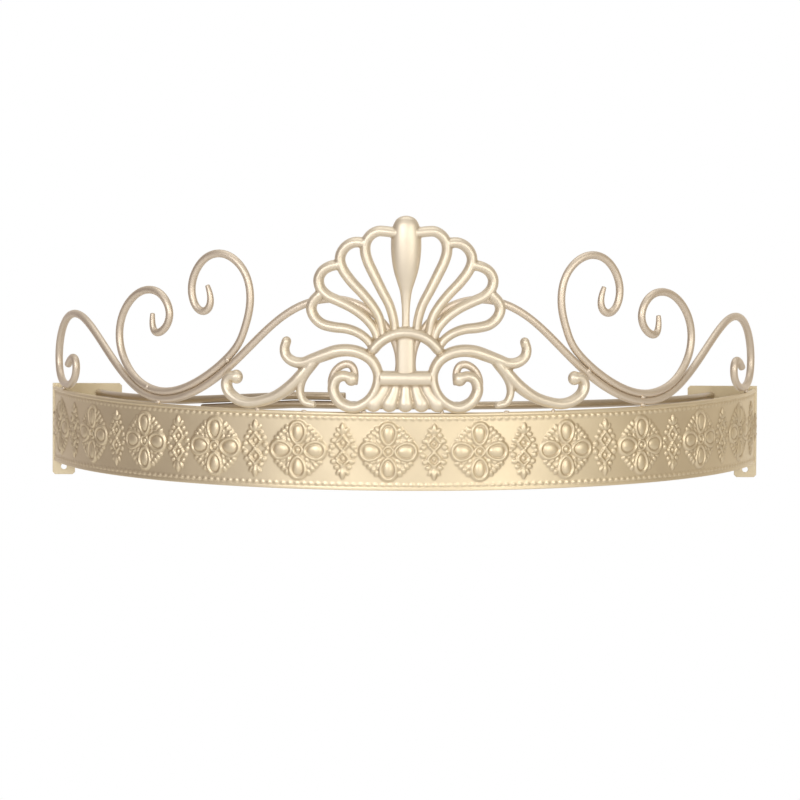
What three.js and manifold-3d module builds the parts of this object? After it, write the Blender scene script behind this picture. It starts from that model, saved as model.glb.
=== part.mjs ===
// Half-round metal bed crown: an embossed band bent to an arc, scrolled rods and a cast
// palmette standing on its rim, two curtain rods inside it and two plates on the wall.
// Millimetres, +Z up. The wall is the plane y = 0 and the crown reaches out to -Y. The origin
// lies on the wall, on the centre line, level with the band's lower edge.

import * as THREE from 'three';
import { NURBSCurve } from 'three/addons/curves/NURBSCurve.js';
import { mergeVertices } from 'three/addons/utils/BufferGeometryUtils.js';
import Module from 'manifold-3d';

// Band: a thin strip with a rolled rim on top and a flat hem below
const crownWidth = 600;
const crownDepth = 250;
const bandHeight = 64;
const sheetThickness = 1.2;
const rimRollDiameter = 3.6;
const hemThickness = 2;
const hemHeight = 2.6;

// Pattern embossed in the band: rosettes of oval petals round a boss, and a lozenge between two
const motifPitch = 75.4;
const motifOffset = -13.9;
const motifRelief = 2.2;
const domeLength = 18;
const domeWidth = 15;
const domeReach = 14.6;
const bossDiameter = 9;
const lozengeWidth = 20;
const lozengeHeight = 44;

// Scrolled rods that stand on the rim
const rodDiameter = 6.5;
const outerScrollRise = 89;
const lyreScrollRise = 123;

// Cast palmette with its leaf scrolls
const castingHalfWidth = 157;
const castingHeight = 161;
const castingOverhang = 1.2;
const petalWidth = 8.2;
const petalTaperWidth = 6.6;
const archWidth = 8.8;
const clubDiameter = 26;
const clubNeckDiameter = 6.8;
const stemDiameter = 14;
const crossbarDiameter = 12.6;
const fluteTopWidth = 8.4;
const fluteFootWidth = 13.4;
const leafWidth = 9.2;
const footWidth = 9.2;
const hookWidth = 6.6;
const budDiameter = 11.6;
const footBallDiameter = 11.6;

// Curtain rods inside the band: both start on the wall, and their free ends lap at the front
const curtainRodDiameter = 6.5;
const curtainRodInset = 38;
const curtainRodFrontRise = 2.6;
const curtainRodWallDrop = 6.2;
const rodLapFromCentre = 57;
const rodLapLength = 150;
const rodLapGap = 0.6;
const rodClimbFromCentre = 107;
const rodClimbLength = 130;

// Wall plates: an upright tab at each end of the band, and an arm along the wall
const plateWidth = 19;
const plateThickness = 2.5;
const tabDrop = 12;
const tabHoleEdge = 6.6;
const armTopRise = 2;
const armReach = 59;
const armHoleEdge = 9.5;
const screwHoleDiameter = 5;
const plateCornerRadius = 2;

// Fits and fineness
const fitGap = 0.3;
const castingGap = 0.4;
const lyreGap = 0.6;
const rodStep = 8.5;
const castStep = 8;
const curtainRodStep = 14;
const bandStep = 17.5;
const rodSides = 8;

// The band's outer face is an arc through both ends on the wall and the front
const bandRadius = (crownWidth * crownWidth / 4 + crownDepth * crownDepth) / (2 * crownDepth);
const arcCentreY = bandRadius - crownDepth;
const halfArc = bandRadius * Math.atan2(crownWidth / 2, arcCentreY);
const sheetMiddle = rimRollDiameter / 2;
const rodSeat = rodDiameter / 2 + fitGap;

// Metal paint, a little greyer where it lies in shade
const paint = { brass: 0xc9b084, rods: 0xbfa679, cast: 0xcdb486, inside: 0xb39b6f, plates: 0xa9976a };

const manifold = await Module();
manifold.setup();

// Leaves only closed, shared positions: no seams, and no triangle without an area
function closed(geometry) {
  const bare = geometry.clone();
  bare.deleteAttribute('normal');
  bare.deleteAttribute('uv');
  const merged = mergeVertices(bare);
  const kept = [];
  for (let i = 0; i < merged.index.count; i += 3) {
    const corners = [0, 1, 2].map((step) => merged.index.getX(i + step));
    if (new Set(corners).size === 3) kept.push(...corners);
  }
  merged.setIndex(kept);
  return merged;
}

function toSolid(geometry) {
  const shape = closed(geometry);
  const vertProperties = new Float32Array(shape.attributes.position.array);
  const triVerts = new Uint32Array(shape.index.array);
  return new manifold.Manifold(new manifold.Mesh({ numProp: 3, vertProperties, triVerts }));
}

function toGeometry(solid) {
  const mesh = solid.getMesh();
  const geometry = new THREE.BufferGeometry();
  geometry.setAttribute('position', new THREE.BufferAttribute(new Float32Array(mesh.vertProperties), 3));
  geometry.setIndex(Array.from(mesh.triVerts));
  return geometry;
}

// Bends a shape drawn on the unrolled band on to the band's arc: x runs along the arc from the
// front, y runs inwards from the band's outer face, and z stays up
function bend(geometry) {
  const place = geometry.attributes.position;
  for (let i = 0; i < place.count; i += 1) {
    const angle = place.getX(i) / bandRadius;
    const reach = bandRadius - place.getY(i);
    const z = place.getZ(i);
    place.setXYZ(i, reach * Math.sin(angle), arcCentreY - reach * Math.cos(angle), z);
  }
  return geometry;
}

function stepsAlong(curve, step) {
  curve.arcLengthDivisions = 600;
  return Math.max(2, Math.round(curve.getLength() / step));
}

// A smooth cubic spline that is drawn towards its points and starts and ends on the outer two
function splineFrom(points) {
  const degree = 3;
  const spans = points.length - degree;
  const inner = Array.from({ length: spans + 1 }, (_, i) => i / spans);
  const knots = [0, 0, 0, ...inner, 1, 1, 1];
  return new NURBSCurve(degree, knots, points.map((p) => new THREE.Vector4(p.x, p.y, p.z, 1)));
}

function roundSection(diameter, sides) {
  const shape = new THREE.Shape();
  for (let i = 0; i < sides; i += 1) {
    const angle = 2 * Math.PI * (i + 0.5) / sides;
    const x = diameter / 2 * Math.cos(angle);
    const y = diameter / 2 * Math.sin(angle);
    if (i === 0) shape.moveTo(x, y);
    else shape.lineTo(x, y);
  }
  shape.closePath();
  return shape;
}

function roundBar(curve, diameter, step) {
  const steps = stepsAlong(curve, step);
  return new THREE.ExtrudeGeometry(roundSection(diameter, rodSides), { steps, extrudePath: curve });
}

function makePart(name, geometry, color, roughness) {
  const shape = closed(geometry);
  shape.computeVertexNormals();
  const finish = new THREE.MeshStandardMaterial({ color, roughness, metalness: 0.75 });
  const mesh = new THREE.Mesh(shape, finish);
  mesh.name = name;
  return mesh;
}

// Band
function bandProfile() {
  const outer = sheetMiddle - sheetThickness / 2;
  const inner = sheetMiddle + sheetThickness / 2;
  const hemOuter = sheetMiddle - hemThickness / 2;
  const hemInner = sheetMiddle + hemThickness / 2;
  const roll = rimRollDiameter / 2;
  const opening = Math.asin(sheetThickness / rimRollDiameter);
  const shape = new THREE.Shape();
  shape.moveTo(hemInner, 0);
  shape.lineTo(hemInner, hemHeight);
  shape.lineTo(inner, hemHeight);
  const rollSides = 7;
  for (let i = 0; i <= rollSides; i += 1) {
    const angle = -Math.PI / 2 + opening + (2 * Math.PI - 2 * opening) * i / rollSides;
    shape.lineTo(sheetMiddle + roll * Math.cos(angle), bandHeight - roll + roll * Math.sin(angle));
  }
  shape.lineTo(outer, hemHeight);
  shape.lineTo(hemOuter, hemHeight);
  shape.lineTo(hemOuter, 0);
  shape.closePath();
  return shape;
}

// Half the arc length at which a piece of the given inset ends in front of the wall plates
function arcToPlates(inset) {
  const reach = bandRadius - inset;
  return bandRadius * Math.acos((arcCentreY + plateThickness + fitGap) / reach);
}

// Whole motifs at an even pitch, as far as the band's ends allow for half of one
function motifPlaces(first, half) {
  const reach = arcToPlates(rimRollDiameter) - half;
  const places = [];
  for (let i = Math.ceil((-reach - first) / motifPitch); first + i * motifPitch <= reach; i += 1) {
    places.push(first + i * motifPitch);
  }
  return places;
}

// An oval raised from the sheet, with its flat base inside it
function dome(along, up, length, height, sides, rings) {
  const profile = [new THREE.Vector2(0, 0)];
  for (let i = 0; i <= rings; i += 1) {
    const angle = Math.PI / 2 * i / rings;
    profile.push(new THREE.Vector2(i === rings ? 0 : Math.cos(angle), Math.sin(angle)));
  }
  const shape = new THREE.LatheGeometry(profile, sides);
  shape.rotateX(Math.PI);
  shape.scale(length / 2, sheetThickness / 2 + motifRelief, height / 2);
  shape.translate(along, sheetMiddle, up);
  return toSolid(bend(shape));
}

function rosette(along) {
  const middle = bandHeight / 2;
  return [
    dome(along, middle, bossDiameter, bossDiameter, 8, 2),
    dome(along - domeReach, middle, domeLength, domeWidth, 8, 2),
    dome(along + domeReach, middle, domeLength, domeWidth, 8, 2),
    dome(along, middle - domeReach, domeWidth, domeLength, 8, 2),
    dome(along, middle + domeReach, domeWidth, domeLength, 8, 2),
  ];
}

function makeBand() {
  const reach = arcToPlates(rimRollDiameter);
  const steps = 2 * Math.round(reach / bandStep);
  const strip = new THREE.ExtrudeGeometry(bandProfile(), { depth: 2 * reach, steps, bevelEnabled: false });
  // The profile's x points inwards and its y up, so the strip is laid from right to left
  const lay = new THREE.Matrix4().makeBasis(
    new THREE.Vector3(0, 1, 0),
    new THREE.Vector3(0, 0, 1),
    new THREE.Vector3(1, 0, 0),
  );
  strip.applyMatrix4(lay);
  strip.translate(-reach, 0, 0);
  const rosettes = motifPlaces(motifOffset, domeReach + domeLength / 2).flatMap(rosette);
  const lozenges = motifPlaces(motifOffset + motifPitch / 2, lozengeWidth / 2)
    .map((along) => dome(along, bandHeight / 2, lozengeWidth, lozengeHeight, 4, 1));
  const whole = [...rosettes, ...lozenges].reduce((sum, solid) => sum.add(solid), toSolid(bend(strip)));
  return makePart('band', toGeometry(whole), paint.brass, 0.42);
}

// Scrolled rods. The places are shares of half the band's arc and of the scroll's own rise
// above its rest, from the inner end to the outer end, for the right-hand scroll.
const outerScrollShares = [
  [0.1, 0.22], [0.093, 0.43], [0.142, 0.41], [0.153, 0.09], [0.075, -0.06], [0.004, 0.25], [0.016, 0.66],
  [0.077, 0.95], [0.15, 1.02], [0.218, 0.92], [0.274, 0.717], [0.329, 0.458], [0.387, 0.222],
  [0.455, 0.042], [0.527, -0.027], [0.596, 0.057], [0.663, 0.274], [0.733, 0.537], [0.811, 0.735],
  [0.901, 0.671], [0.975, 0.35], [0.961, 0.03], [0.87, -0.029], [0.822, 0.166], [0.848, 0.345],
  [0.887, 0.2],
];
const lyreInnerShares = [
  [0.41, 0.78], [0.398, 0.69], [0.408, 0.59], [0.441, 0.615], [0.455, 0.79], [0.42, 0.986],
  [0.364, 1.02], [0.317, 0.88], [0.31, 0.67], [0.325, 0.505],
];
const lyreOuterShares = [
  [0.63, 0.2], [0.657, 0.347], [0.651, 0.545], [0.595, 0.728], [0.528, 0.744], [0.495, 0.58],
  [0.521, 0.436], [0.555, 0.429], [0.551, 0.568],
];
// The lyre scroll lies along the outer scroll from this point of it to that one
const lyreTouchesFrom = 11;
const lyreTouchesTo = 15;

function scrollPoints(shares, rise, side) {
  const inset = rodDiameter / 2;
  return shares.map(([along, up]) => new THREE.Vector3(
    side * along * halfArc,
    inset,
    bandHeight + rodSeat + up * rise,
  ));
}

// Sets the points down or up until the curve just rests above the rim
function restOnRim(points) {
  const curve = splineFrom(points);
  const lowest = Math.min(...curve.getPoints(600).map((p) => p.z));
  const lift = bandHeight + rodSeat - lowest;
  points.forEach((p) => { p.z += lift; });
  return points;
}

function outerScrollPoints(side) {
  return restOnRim(scrollPoints(outerScrollShares, outerScrollRise, side));
}

// The points of the outer scroll moved off it by one rod and the gap of the weld
function alongOuterScroll(side) {
  const points = outerScrollPoints(side);
  const moved = [];
  for (let i = lyreTouchesFrom; i <= lyreTouchesTo; i += 1) {
    const run = points[i + 1].clone().sub(points[i - 1]).normalize();
    const up = new THREE.Vector3(-run.z, 0, run.x).multiplyScalar(side);
    moved.push(points[i].clone().addScaledVector(up, rodDiameter + lyreGap));
  }
  return moved;
}

function lyreScrollPoints(side) {
  return [
    ...scrollPoints(lyreInnerShares, lyreScrollRise, side),
    ...alongOuterScroll(side),
    ...scrollPoints(lyreOuterShares, lyreScrollRise, side),
  ];
}

function makeScroll(name, points) {
  const bar = roundBar(splineFrom(points), rodDiameter, rodStep);
  return makePart(name, bend(bar), paint.rods, 0.38);
}

// Cast palmette. The places are shares of the casting's half width and of its height above the
// rim, and the bars are half round, with their flat backs on one plane.
const petalShares = [
  [[0.06, 0.913], [0.11, 0.919], [0.147, 0.919], [0.183, 0.9], [0.207, 0.865], [0.212, 0.82],
    [0.199, 0.77], [0.168, 0.705], [0.126, 0.623], [0.085, 0.545], [0.062, 0.467], [0.055, 0.4]],
  [[0.215, 0.86], [0.267, 0.862], [0.306, 0.845], [0.335, 0.81], [0.343, 0.77], [0.328, 0.725],
    [0.283, 0.664], [0.225, 0.604], [0.173, 0.542], [0.137, 0.48], [0.12, 0.4]],
  [[0.345, 0.75], [0.397, 0.738], [0.435, 0.714], [0.455, 0.675], [0.447, 0.63], [0.409, 0.591],
    [0.345, 0.562], [0.272, 0.526], [0.21, 0.48], [0.165, 0.427], [0.145, 0.38]],
  [[0.45, 0.595], [0.484, 0.559], [0.494, 0.522], [0.477, 0.48], [0.436, 0.446], [0.375, 0.431],
    [0.308, 0.424], [0.251, 0.406], [0.204, 0.375], [0.175, 0.34]],
];
const leafShares = [
  [0.628, 0.354], [0.638, 0.318], [0.63, 0.282], [0.596, 0.254], [0.542, 0.246], [0.484, 0.266],
  [0.425, 0.288], [0.357, 0.31], [0.287, 0.314], [0.223, 0.298], [0.172, 0.261], [0.142, 0.195],
  [0.155, 0.115], [0.2, 0.054], [0.273, 0.024], [0.342, 0.052], [0.376, 0.115], [0.36, 0.168],
  [0.325, 0.184], [0.292, 0.178],
];
const leafWidthShares = [0.76, 0.9, 1.06, 1.05, 0.88, 0.94, 1, 0.9];
const footShares = [
  [0.49, 0.258], [0.537, 0.188], [0.597, 0.12], [0.675, 0.065], [0.76, 0.037], [0.84, 0.032],
  [0.908, 0.05], [0.957, 0.09], [0.967, 0.135], [0.945, 0.163], [0.915, 0.164],
];
const footWidthShares = [0.76, 1.12, 1.12, 0.98, 0.95, 1, 1.02, 0.94];
const hookShares = [
  [0.455, 0.28], [0.512, 0.212], [0.548, 0.14], [0.55, 0.085], [0.528, 0.048], [0.484, 0.036],
];
const hookWidthShares = [1.2, 1.45, 1.12, 1, 0.97, 0.82];
const archHalfSpanShare = 0.168;
const archFootShare = 0.323;
const archTopShare = 0.403;
const crossbarHalfLengthShare = 0.13;
const crossbarUpShare = 0.174;
const budShare = [0.281, 0.17];
const footBallShare = [0.912, 0.163];
const clubProfileShares = [
  [0, 0], [0.42, 0.02], [0.78, 0.07], [0.95, 0.14], [1, 0.24], [0.97, 0.36], [0.84, 0.5], [0.58, 0.63],
  [0.38, 0.74],
];
const fluteSpreadShares = [-1, -0.5, 0, 0.5, 1];
const fluteTopSpreadShare = 0.095;
const fluteFootSpreadShare = 0.166;
const fluteBendShare = 0.38;
const reliefShare = 0.72;
const barFrontSides = 5;
const archSides = 12;

function onCasting([along, up], side = 1) {
  return new THREE.Vector3(side * along * castingHalfWidth, -castingGap, bandHeight + up * castingHeight);
}

// A value read from a list at a place between 0 and 1, with straight runs between its entries
function readAt(list, place) {
  const spot = place * (list.length - 1);
  const before = Math.min(Math.floor(spot), list.length - 2);
  return list[before] + (list[before + 1] - list[before]) * (spot - before);
}

// A half-round bar with a flat back, along points on the casting's back plane. widths are read
// evenly from its start to its end.
function reliefBar(points, widths) {
  const curve = new THREE.CatmullRomCurve3(points, false, 'centripetal');
  const steps = stepsAlong(curve, castStep);
  const ring = barFrontSides + 1;
  const places = [];
  const faces = [];
  for (let i = 0; i <= steps; i += 1) {
    const centre = curve.getPointAt(i / steps);
    const run = curve.getTangentAt(i / steps);
    const across = new THREE.Vector3(-run.z, 0, run.x);
    const half = readAt(widths, i / steps) / 2;
    for (let j = 0; j < ring; j += 1) {
      const angle = Math.PI * j / barFrontSides;
      const spot = centre.clone().addScaledVector(across, half * Math.cos(angle));
      spot.y -= 2 * half * reliefShare * Math.sin(angle);
      places.push(spot.x, spot.y, spot.z);
    }
  }
  for (let i = 0; i < steps; i += 1) {
    for (let j = 0; j < ring; j += 1) {
      const a = i * ring + j;
      const b = i * ring + (j + 1) % ring;
      faces.push(a, b, b + ring, a, b + ring, a + ring);
    }
  }
  const last = steps * ring;
  for (let j = 1; j < ring - 1; j += 1) {
    faces.push(0, j + 1, j, last, last + j, last + j + 1);
  }
  const geometry = new THREE.BufferGeometry();
  geometry.setAttribute('position', new THREE.Float32BufferAttribute(places, 3));
  geometry.setIndex(faces);
  return geometry;
}

// A full-round shape whose back half is cut off at the casting's back plane
function frontHalf(geometry) {
  const reach = 2 * (castingHalfWidth + castingHeight);
  const behind = new THREE.BoxGeometry(reach, reach, reach);
  behind.translate(0, reach / 2 - castingGap, bandHeight + castingHeight / 2);
  return toSolid(geometry).subtract(toSolid(behind));
}

function reliefBall(share, diameter, side) {
  const ball = new THREE.SphereGeometry(diameter / 2, 10, 7);
  const centre = onCasting(share, side);
  ball.translate(centre.x, centre.y, centre.z);
  return frontHalf(ball);
}

// The club hangs from the casting's top to the arch
function makeClub() {
  const clubLength = castingHeight * (1 - archTopShare);
  const foot = [clubNeckDiameter / clubDiameter, 1];
  const profile = [...clubProfileShares, foot].map(([out, down]) => new THREE.Vector2(
    out * clubDiameter / 2,
    -down * clubLength,
  ));
  profile.push(new THREE.Vector2(0, -clubLength));
  const club = new THREE.LatheGeometry(profile.reverse(), 12);
  club.rotateX(Math.PI / 2);
  club.scale(1, reliefShare, 1);
  club.translate(0, -castingGap, bandHeight + castingHeight);
  return frontHalf(club);
}

function makeFlutes() {
  const top = crossbarUpShare * castingHeight - crossbarDiameter / 3;
  const foot = 0;
  return fluteSpreadShares.map((spread) => {
    const topX = spread * fluteTopSpreadShare * castingHalfWidth;
    const footX = spread * fluteFootSpreadShare * castingHalfWidth;
    const points = [0, 0.5, 1].map((down) => new THREE.Vector3(
      topX + (footX - topX) * (down === 0.5 ? fluteBendShare : down),
      -castingGap,
      bandHeight + top + (foot - top) * down,
    ));
    return toSolid(reliefBar(points, [fluteTopWidth, fluteFootWidth]));
  });
}

// A round arch over the stem, from one foot to the other
function archPoints() {
  const halfSpan = archHalfSpanShare * castingHalfWidth;
  const rise = (archTopShare - archFootShare) * castingHeight;
  const radius = (halfSpan * halfSpan + rise * rise) / (2 * rise);
  const lean = Math.asin(halfSpan / radius);
  const top = bandHeight + archTopShare * castingHeight;
  return Array.from({ length: archSides + 1 }, (_, i) => {
    const angle = lean * (2 * i / archSides - 1);
    return new THREE.Vector3(-radius * Math.sin(angle), -castingGap, top - radius * (1 - Math.cos(angle)));
  });
}

function makeCasting() {
  const solids = [makeClub(), ...makeFlutes()];
  solids.push(toSolid(reliefBar(archPoints(), [archWidth, archWidth])));
  const stemPoints = [archTopShare, crossbarUpShare].map((up) => onCasting([0, up]));
  solids.push(toSolid(reliefBar(stemPoints, [stemDiameter, stemDiameter])));
  const barPoints = [-1, 1].map((side) => onCasting([crossbarHalfLengthShare, crossbarUpShare], side));
  solids.push(toSolid(reliefBar(barPoints, [crossbarDiameter, crossbarDiameter])));
  for (const side of [-1, 1]) {
    for (const petal of petalShares) {
      const points = petal.map((share) => onCasting(share, side));
      solids.push(toSolid(reliefBar(points, [petalWidth, petalWidth, petalTaperWidth])));
    }
    const leaf = leafShares.map((share) => onCasting(share, side));
    solids.push(toSolid(reliefBar(leaf, leafWidthShares.map((share) => share * leafWidth))));
    const foot = footShares.map((share) => onCasting(share, side));
    solids.push(toSolid(reliefBar(foot, footWidthShares.map((share) => share * footWidth))));
    const hook = hookShares.map((share) => onCasting(share, side));
    solids.push(toSolid(reliefBar(hook, hookWidthShares.map((share) => share * hookWidth))));
    solids.push(reliefBall(budShare, budDiameter, side));
    solids.push(reliefBall(footBallShare, footBallDiameter, side));
  }
  const whole = solids.reduce((sum, solid) => sum.add(solid));
  // The feet and volutes reach a little below the rim, so they lap the front of its roll
  const below = new THREE.BoxGeometry(4 * castingHalfWidth, castingHeight, castingHeight);
  below.translate(0, 0, bandHeight - castingOverhang - castingHeight / 2);
  return makePart('palmette_casting', bend(toGeometry(whole.subtract(toSolid(below)))), paint.cast, 0.4);
}

// Curtain rods
const wallAngle = arcToPlates(curtainRodInset + curtainRodDiameter / 2) / bandRadius;

// A rod from its wall end to its free end. It runs level with the rim's arc but falls towards
// the wall. Near the lap one rod climbs on to the other, whose end dips below it.
function curtainRod(name, side, freeEnd, climbs) {
  const radius = bandRadius - curtainRodInset;
  const fall = curtainRodFrontRise + curtainRodWallDrop;
  const step = curtainRodDiameter + rodLapGap;
  const places = 26;
  const points = [];
  for (let i = 0; i <= places; i += 1) {
    const end = freeEnd / bandRadius;
    const angle = wallAngle + (end - wallAngle) * i / places;
    const behind = (1 - Math.cos(angle)) / (1 - Math.cos(wallAngle));
    const pastLap = (Math.abs(angle * bandRadius) - rodClimbFromCentre) / rodClimbLength;
    const dipped = Math.min(1, Math.max(0, pastLap));
    let z = bandHeight + curtainRodFrontRise - fall * behind;
    if (climbs) z += step * (1 - dipped);
    else if (angle < 0) z -= step * dipped;
    points.push(new THREE.Vector3(side * radius * Math.sin(angle), arcCentreY - radius * Math.cos(angle), z));
  }
  const bar = roundBar(new THREE.CatmullRomCurve3(points), curtainRodDiameter, curtainRodStep);
  return makePart(name, bar, paint.inside, 0.4);
}

// Wall plates
function makePlate(name, side) {
  const outer = crownWidth / 2;
  const top = bandHeight + armTopRise;
  const armFoot = top - plateWidth;
  const shape = new THREE.Shape();
  const corner = plateCornerRadius;
  shape.moveTo(outer - plateWidth + corner, -tabDrop);
  shape.lineTo(outer - corner, -tabDrop);
  shape.lineTo(outer, corner - tabDrop);
  shape.lineTo(outer, top);
  shape.lineTo(outer - armReach + corner, top);
  shape.lineTo(outer - armReach, top - corner);
  shape.lineTo(outer - armReach, armFoot + corner);
  shape.lineTo(outer - armReach + corner, armFoot);
  shape.lineTo(outer - plateWidth, armFoot);
  shape.lineTo(outer - plateWidth, corner - tabDrop);
  shape.closePath();
  const holes = [
    [outer - plateWidth / 2, tabHoleEdge - tabDrop],
    [outer - armReach + armHoleEdge, top - plateWidth / 2],
  ];
  for (const [x, z] of holes) {
    const hole = new THREE.Path();
    hole.absarc(x, z, screwHoleDiameter / 2, 0, 2 * Math.PI, true);
    shape.holes.push(hole);
  }
  const curveSegments = 8;
  const plate = new THREE.ExtrudeGeometry(shape, { depth: plateThickness, bevelEnabled: false, curveSegments });
  // The outline's y becomes the height, and the thickness runs forward from the wall
  plate.rotateX(Math.PI / 2);
  if (side < 0) plate.rotateZ(Math.PI).translate(0, -plateThickness, 0);
  return makePart(name, plate, paint.plates, 0.45);
}

const crown = new THREE.Group();
crown.add(makeBand());
crown.add(makePlate('wall_plate_left', -1), makePlate('wall_plate_right', 1));
const lapFar = -(rodLapFromCentre + rodLapLength);
crown.add(curtainRod('curtain_rod_right', 1, lapFar, false));
crown.add(curtainRod('curtain_rod_left', -1, rodLapFromCentre, true));
for (const [word, side] of [['left', -1], ['right', 1]]) {
  crown.add(makeScroll(`outer_scroll_${word}`, outerScrollPoints(side)));
  crown.add(makeScroll(`lyre_scroll_${word}`, lyreScrollPoints(side)));
}
crown.add(makeCasting());

export default crown;
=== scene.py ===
"""Dresses the half-round bed crown: embossed band, scrolled rods, cast palmette and wall fittings."""

import math

import bmesh
import bpy
import numpy as np
from mathutils import Matrix, Vector


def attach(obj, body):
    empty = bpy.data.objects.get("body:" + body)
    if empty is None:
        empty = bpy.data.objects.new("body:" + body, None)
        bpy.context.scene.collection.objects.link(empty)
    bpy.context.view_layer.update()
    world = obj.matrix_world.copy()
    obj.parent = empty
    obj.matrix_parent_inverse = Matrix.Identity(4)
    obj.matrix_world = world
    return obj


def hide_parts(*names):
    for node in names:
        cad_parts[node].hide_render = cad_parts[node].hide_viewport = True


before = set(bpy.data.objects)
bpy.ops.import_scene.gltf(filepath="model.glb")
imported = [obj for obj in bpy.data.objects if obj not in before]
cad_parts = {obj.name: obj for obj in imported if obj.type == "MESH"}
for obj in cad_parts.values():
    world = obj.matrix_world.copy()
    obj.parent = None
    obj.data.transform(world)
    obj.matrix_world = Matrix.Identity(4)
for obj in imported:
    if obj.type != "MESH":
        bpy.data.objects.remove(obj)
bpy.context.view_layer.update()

# Sizes are millimetres until a mesh is made. The crown stands on the wall plane y = 0 and reaches
# out to -Y, and z = 0 is the band's lower edge.
MM = 0.001

CROWN_WIDTH = 600
CROWN_DEPTH = 250
BAND_HEIGHT = 64
SHEET_THICKNESS = 1.2
RIM_ROLL = 3.6
HEM_THICKNESS = 2
HEM_HEIGHT = 2.6
BAND_RADIUS = (CROWN_WIDTH ** 2 / 4 + CROWN_DEPTH ** 2) / (2 * CROWN_DEPTH)
ARC_CENTRE_Y = BAND_RADIUS - CROWN_DEPTH
HALF_ARC = BAND_RADIUS * math.atan2(CROWN_WIDTH / 2, ARC_CENTRE_Y)
SHEET_MIDDLE = RIM_ROLL / 2

PLATE_THICKNESS = 2.5
FIT_GAP = 0.3
CASTING_GAP = 0.4
CASTING_OVERHANG = 1.2
LYRE_GAP = 0.05
ROD = 6.5
ROD_SEAT = ROD / 2 + FIT_GAP


# Pieces


def put(name, data):
    """A new object in the scene."""
    thing = bpy.data.objects.new(name, data)
    bpy.context.scene.collection.objects.link(thing)
    return thing


def mesh_piece(name, places, faces, nodes, slot, smooth=True):
    """A new piece from places in millimetres, riding on the crown and standing for the given solids."""
    mesh = bpy.data.meshes.new(name)
    mesh.from_pydata((np.asarray(places) * MM).tolist(), [], faces)
    mesh.validate()
    if smooth:
        mesh.shade_smooth()
    mesh.materials.append(PAINTS[slot])
    piece = put(name, mesh)
    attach(piece, "root")
    if nodes:
        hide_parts(*nodes)
    return piece


def paint_shade(piece, values):
    """Marks how deep in a hollow each place lies, for the paint's painted shade to darken."""
    layer = piece.data.attributes.new("shade", "FLOAT", "POINT")
    layer.data.foreach_set("value", np.asarray(values, np.float32))


def read_places(mesh, key="co"):
    places = np.empty(len(mesh.vertices) * 3)
    mesh.vertices.foreach_get(key, places)
    return places.reshape(-1, 3)


def read_faces(mesh):
    return [tuple(face.vertices) for face in mesh.polygons]


def gather(skins):
    """Places and faces of several skins as those of one."""
    places = []
    faces = []
    start = 0
    for skin_places, skin_faces in skins:
        places.append(skin_places)
        faces += [tuple(i + start for i in face) for face in skin_faces]
        start += len(skin_places)
    return np.concatenate(places), faces


def worked(rough):
    """The mesh that an object's modifiers make of it. The object itself goes."""
    bpy.context.view_layer.update()
    whole = rough.evaluated_get(bpy.context.evaluated_depsgraph_get())
    skin = bpy.data.meshes.new_from_object(whole)
    bpy.data.objects.remove(rough)
    return skin


def bend(places):
    """Bends places drawn on the unrolled band on to its arc: x along it, y inwards from its outer face."""
    places = np.asarray(places, float)
    angle = places[..., 0] / BAND_RADIUS
    reach = BAND_RADIUS - places[..., 1]
    return np.stack([reach * np.sin(angle), ARC_CENTRE_Y - reach * np.cos(angle), places[..., 2]], -1)


def arc_to_plates(inset):
    reach = BAND_RADIUS - inset
    return BAND_RADIUS * math.acos((ARC_CENTRE_Y + PLATE_THICKNESS + FIT_GAP) / reach)


# Curves
SPLINE_DEGREE = 3
SPLINE_PLACES = 1600


def spline(points):
    """A cubic spline that is drawn towards its points and starts and ends on the outer two."""
    points = np.asarray(points, float)
    spans = len(points) - SPLINE_DEGREE
    knots = np.concatenate([[0] * SPLINE_DEGREE, np.linspace(0, 1, spans + 1), [1] * SPLINE_DEGREE])
    at = np.minimum(np.linspace(0, 1, SPLINE_PLACES), 1 - 1e-9)
    basis = [((knots[i] <= at) & (at < knots[i + 1])).astype(float) for i in range(len(knots) - 1)]
    for order in range(1, SPLINE_DEGREE + 1):
        wider = []
        for i in range(len(knots) - order - 1):
            rise = knots[i + order] - knots[i]
            fall = knots[i + order + 1] - knots[i + 1]
            term = np.zeros(SPLINE_PLACES)
            if rise > 0:
                term += (at - knots[i]) / rise * basis[i]
            if fall > 0:
                term += (knots[i + order + 1] - at) / fall * basis[i + 1]
            wider.append(term)
        basis = wider
    return np.stack(basis, 1) @ points


def through(points, samples=60):
    """A smooth curve through its points, with centripetal spacing."""
    points = np.asarray(points, float)
    ends = [2 * points[0] - points[1], *points, 2 * points[-1] - points[-2]]
    places = []
    for p0, p1, p2, p3 in zip(ends, ends[1:], ends[2:], ends[3:]):
        t0 = 0
        t1 = t0 + np.linalg.norm(p1 - p0) ** 0.5
        t2 = t1 + np.linalg.norm(p2 - p1) ** 0.5
        t3 = t2 + np.linalg.norm(p3 - p2) ** 0.5
        t = np.linspace(t1, t2, samples, endpoint=False)[:, None]
        a1 = (t1 - t) / (t1 - t0) * p0 + (t - t0) / (t1 - t0) * p1
        a2 = (t2 - t) / (t2 - t1) * p1 + (t - t1) / (t2 - t1) * p2
        a3 = (t3 - t) / (t3 - t2) * p2 + (t - t2) / (t3 - t2) * p3
        b1 = (t2 - t) / (t2 - t0) * a1 + (t - t0) / (t2 - t0) * a2
        b2 = (t3 - t) / (t3 - t1) * a2 + (t - t1) / (t3 - t1) * a3
        places.append((t2 - t) / (t2 - t1) * b1 + (t - t1) / (t2 - t1) * b2)
    return np.concatenate([*places, points[-1:]])


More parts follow.
